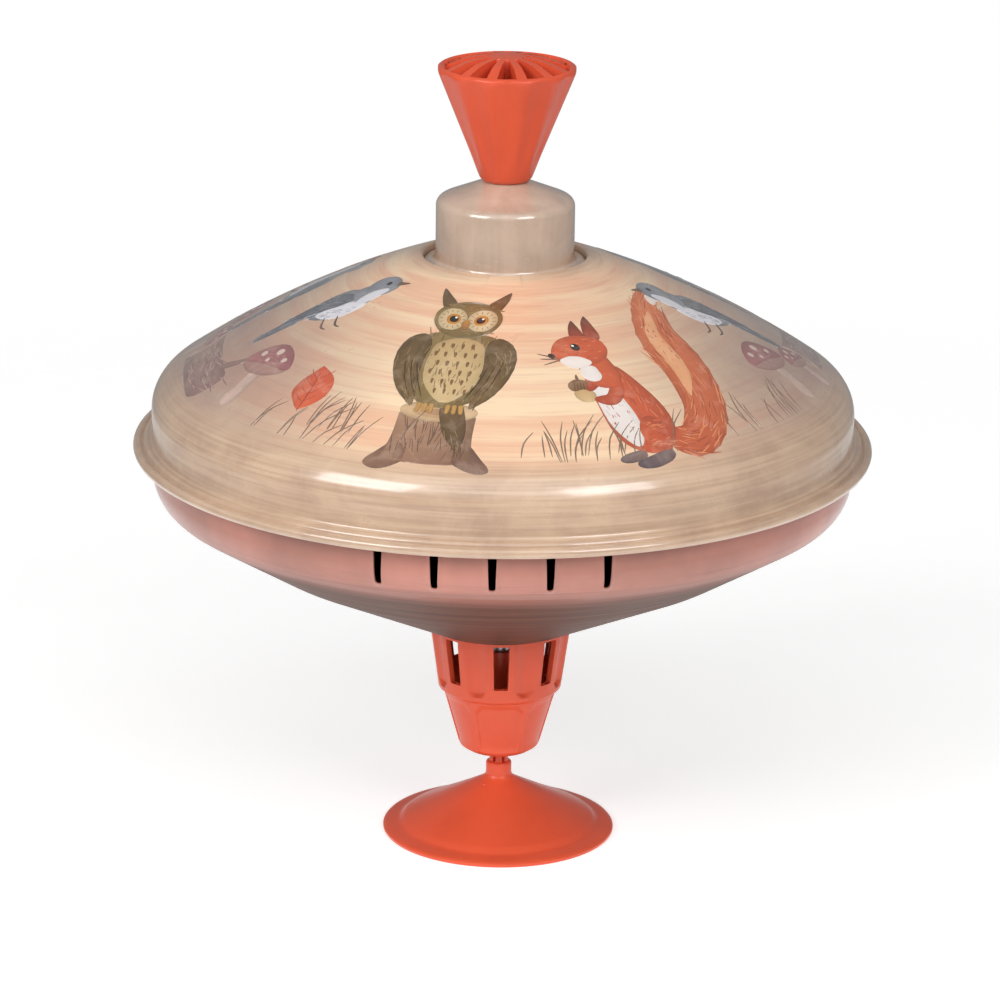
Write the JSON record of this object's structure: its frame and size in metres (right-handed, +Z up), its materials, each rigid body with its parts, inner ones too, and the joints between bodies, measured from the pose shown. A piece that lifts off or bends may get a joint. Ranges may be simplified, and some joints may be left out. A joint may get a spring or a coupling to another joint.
{
  "type": "spinning top",
  "caption": "Pump-action humming top: printed tin body with a rolled rim on a still plastic foot, driven by a ribbed push knob on a twisted rod.",
  "frame": {"origin": "centre of the foot's resting face", "axes": "+Z up the axis of spin, -Y the side with the first group of air slots"},
  "size_m": [0.19, 0.19, 0.2075],
  "materials": {
    "printed_tin_upper": "printed and lacquered",
    "printed_tin_lower": "printed and lacquered",
    "lacquered_tin_cap": "satin lacquer",
    "orange_plastic": "moulded, glossy",
    "inner_plastic": "moulded",
    "steel": "plain",
    "brass": "plain",
    "aluminium": "satin"
  },
  "bodies": {
    "foot": {"foot_disc": "orange_plastic", "pivot_pin": "steel"},
    "top": {"air_cage": "orange_plastic", "pivot_cup": "brass", "lower_shell": "printed_tin_lower", "upper_shell": "printed_tin_upper", "neck_cap": "lacquered_tin_cap", "rod_bush": "inner_plastic", "reed_plate": "aluminium", "reeds": "brass", "reed_rivets": "steel", "plate_screws": "steel", "guide_tube": "steel", "clutch_housing": "inner_plastic", "clutch_lid": "steel"},
    "drive_nut": {"drive_nut": "inner_plastic", "drive_plate": "steel", "nut_rivets": "steel"},
    "plunger": {"knob": "orange_plastic", "knob_ferrule": "steel", "knob_pin": "steel", "drive_rod": "steel", "rod_stop": "steel"}
  },
  "joints": [
    {"name": "top_spin", "type": "hinge", "parent": "foot", "child": "top", "pos_m": [0, 0, 0.0249], "axis": [0, 0, 1], "continuous": true},
    {"name": "plunger_slide", "type": "slide", "parent": "top", "child": "plunger", "axis": [0, 0, 1], "range_m": [0, 0.1]},
    {"name": "drive_nut_spin", "type": "hinge", "parent": "top", "child": "drive_nut", "pos_m": [0, 0, 0.158], "axis": [0, 0, 1], "range_deg": [-610, 1]}
  ],
  "couplings": [
    {"joint": "drive_nut_spin", "follows": "plunger_slide", "rad_per_m": -104.72}
  ]
}
